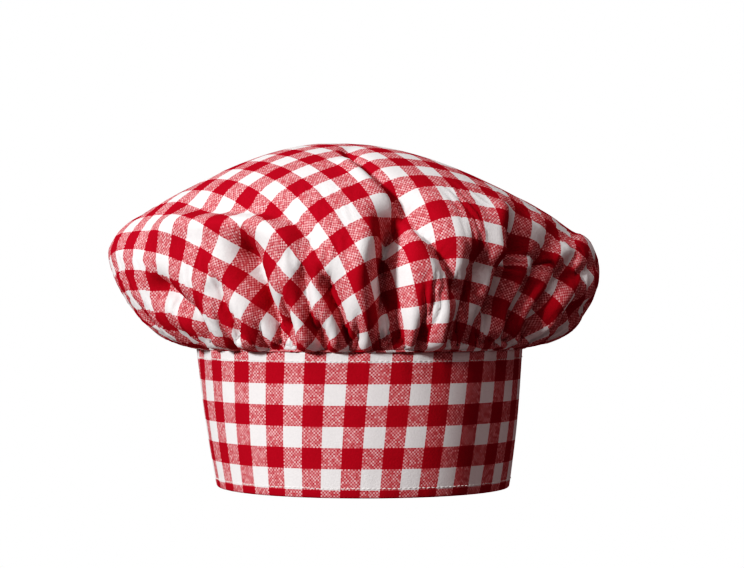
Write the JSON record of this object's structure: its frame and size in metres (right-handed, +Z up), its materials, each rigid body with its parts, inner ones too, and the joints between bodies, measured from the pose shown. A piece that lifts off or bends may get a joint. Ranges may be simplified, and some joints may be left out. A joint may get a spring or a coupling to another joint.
{
  "type": "chef toque",
  "caption": "Soft chef hat: a round gathered gingham crown puffed over an upright folded fabric band, with an overlapping hook-and-loop tab at the back.",
  "frame": {"origin": "centre of the band's bottom edge, on the surface the hat stands on", "axes": "+Z up through the crown, -Y to the front, +Y to the closing tab at the back"},
  "size_m": [0.3118, 0.3118, 0.217],
  "materials": {
    "gingham_crown": "matte",
    "gingham_band": "matte",
    "interfacing": "matte",
    "thread": "satin",
    "loop_tape": "matte",
    "hook_tape": "matte",
    "label": "satin"
  },
  "bodies": {
    "hat": {"crown": "gingham_crown", "band_cloth": "gingham_band", "band_interfacing": "interfacing", "gathering_thread": "thread", "band_top_stitch": "thread", "band_hem_stitch": "thread", "bar_tack_root": "thread", "bar_tack_under": "thread", "loop_tape": "loop_tape", "loop_tape_stitch": "thread", "care_label": "label", "care_label_stitch": "thread", "opening_hem_stitch": "thread"},
    "tab": {"tab_cloth": "gingham_band", "tab_interfacing": "interfacing", "hook_tape": "hook_tape", "hook_tape_stitch": "thread", "tab_edge_stitch": "thread"}
  },
  "joints": [
    {"name": "tab_peel", "type": "hinge", "parent": "hat", "child": "tab", "pos_m": [0.04189, 0.09409, 0], "axis": [0, 0, -1], "range_deg": [0, 150]}
  ]
}
